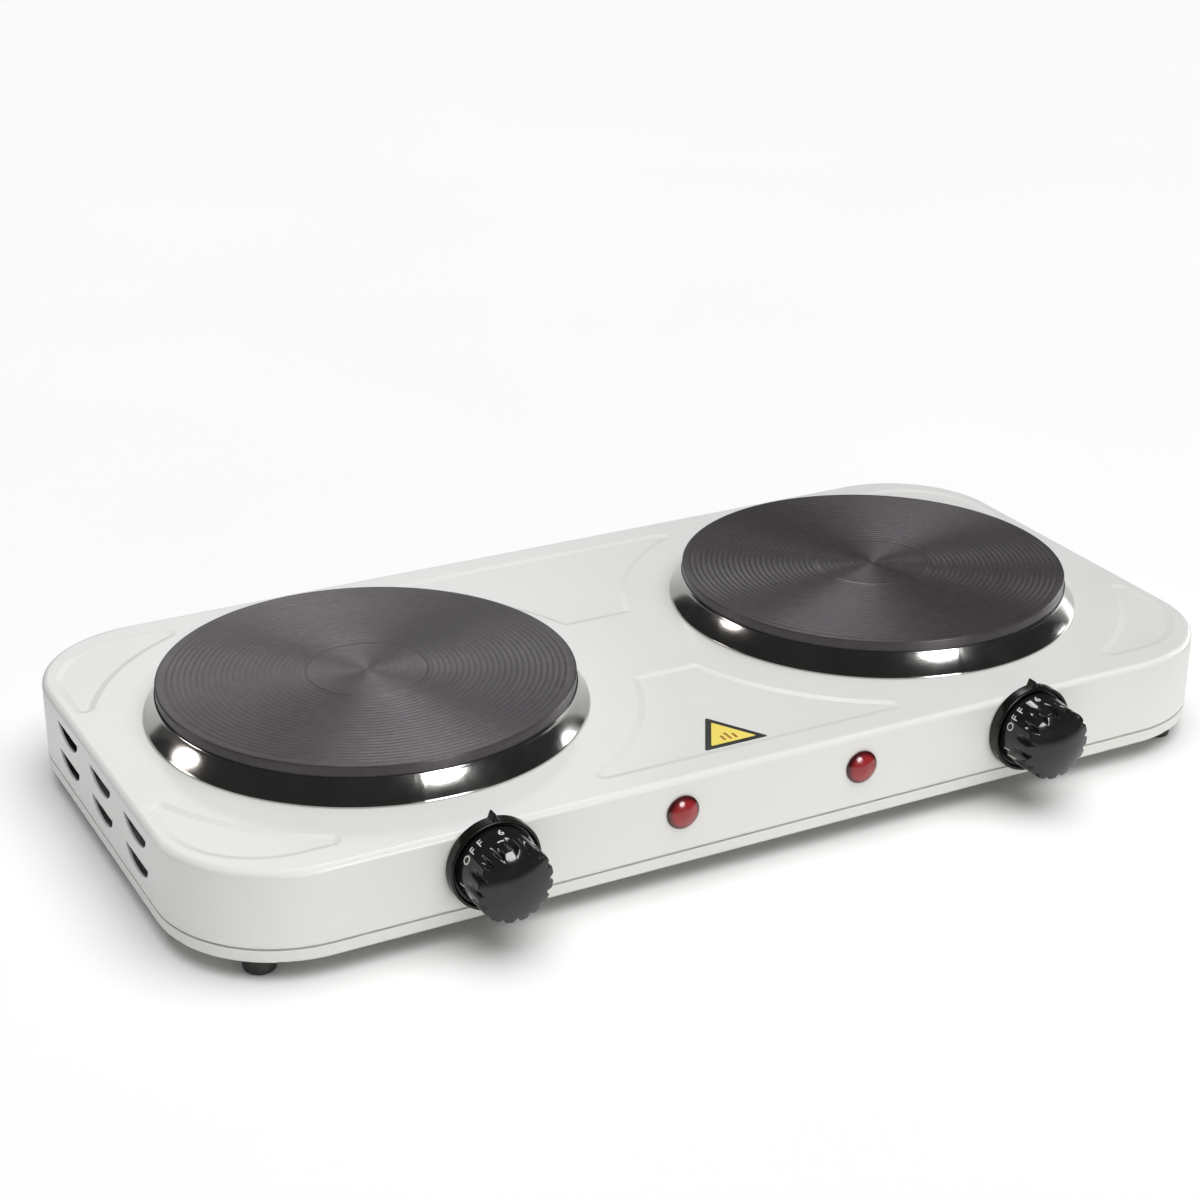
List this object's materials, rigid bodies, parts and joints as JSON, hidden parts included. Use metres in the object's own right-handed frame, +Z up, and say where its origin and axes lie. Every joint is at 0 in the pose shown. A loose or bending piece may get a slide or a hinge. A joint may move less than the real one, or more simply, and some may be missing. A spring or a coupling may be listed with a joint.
{
  "type": "double electric hot plate",
  "caption": "Free-standing double electric hot plate: white pressed-steel body, cast-iron plates in polished rings, thermostat knobs and indicator lamps on the front.",
  "frame": {"origin": "on the worktop, under the middle of the whole appliance's box", "axes": "+X to the user's right, +Y to the back, +Z up"},
  "size_m": [0.48, 0.276, 0.0619],
  "materials": {
    "enamel": "glossy white enamel on pressed steel",
    "enamel_tray": "glossy white enamel on pressed steel",
    "cast_iron": "machined in fine circles and coated dark",
    "polished_steel": "polished stainless steel",
    "knob_black": "glossy moulded phenolic",
    "bezel_black": "satin moulded plastic",
    "lens_red": "translucent red lens",
    "label_yellow": "printed sticker",
    "rubber_black": "matt moulded rubber",
    "plastic_black": "moulded nylon",
    "plastic_white": "moulded nylon",
    "bakelite": "moulded phenolic",
    "ceramic": "unglazed steatite",
    "nichrome": "resistance wire, oxidised",
    "aluminised": "aluminised sheet steel",
    "zinc": "zinc-plated steel",
    "brass": "bare brass",
    "wire_brown": "silicone insulation, brown",
    "wire_white": "glass-braid sleeving",
    "wire_blue": "silicone insulation, blue",
    "wire_green": "silicone insulation, green and yellow"
  },
  "bodies": {
    "root": {"base_screws": "zinc", "base_tray": "enamel_tray", "bezel_screws": "zinc", "body_shell": "enamel", "centre_stud_left": "zinc", "centre_stud_right": "zinc", "clamping_bar_left": "aluminised", "clamping_bar_right": "aluminised", "cord_clamp": "plastic_black", "cord_gland": "rubber_black", "dial_bezel_left": "bezel_black", "dial_bezel_right": "bezel_black", "earth_nut": "zinc", "earth_stud": "zinc", "earth_wire": "wire_green", "feet": "rubber_black", "foot_nuts": "zinc", "foot_screws": "zinc", "heat_shield_left": "aluminised", "heat_shield_right": "aluminised", "heater_ceramic_left": "ceramic", "heater_ceramic_right": "ceramic", "heater_coils_left": "nichrome", "heater_coils_right": "nichrome", "heater_cover_left": "aluminised", "heater_cover_right": "aluminised", "heater_terminal_block_left": "ceramic", "heater_terminal_block_right": "ceramic", "heater_terminals": "brass", "heater_wires": "wire_white", "hot_plate_left": "cast_iron", "hot_plate_right": "cast_iron", "indicator_lamp_left": "plastic_white", "indicator_lamp_right": "plastic_white", "indicator_lens_left": "lens_red", "indicator_lens_right": "lens_red", "mains_block": "plastic_white", "mains_screws": "brass", "neutral_wires": "wire_blue", "shell_brackets": "zinc", "stud_nut_left": "zinc", "stud_nut_right": "zinc", "supply_wires": "wire_brown", "thermostat_left": "bakelite", "thermostat_right": "bakelite", "thermostat_tabs": "brass", "trim_ring_left": "polished_steel", "trim_ring_right": "polished_steel", "warning_label": "label_yellow"},
    "left_control": {"knob_left": "knob_black", "thermostat_shaft_left": "zinc"},
    "right_control": {"knob_right": "knob_black", "thermostat_shaft_right": "zinc"}
  },
  "joints": [
    {"name": "left_knob_turn", "type": "hinge", "parent": "root", "child": "left_control", "pos_m": [-0.1246, -0.113, 0.0318], "axis": [0, 1, 0], "range_deg": [-315, 0]},
    {"name": "right_knob_turn", "type": "hinge", "parent": "root", "child": "right_control", "pos_m": [0.1246, -0.113, 0.0318], "axis": [0, 1, 0], "range_deg": [-308, 7]}
  ]
}
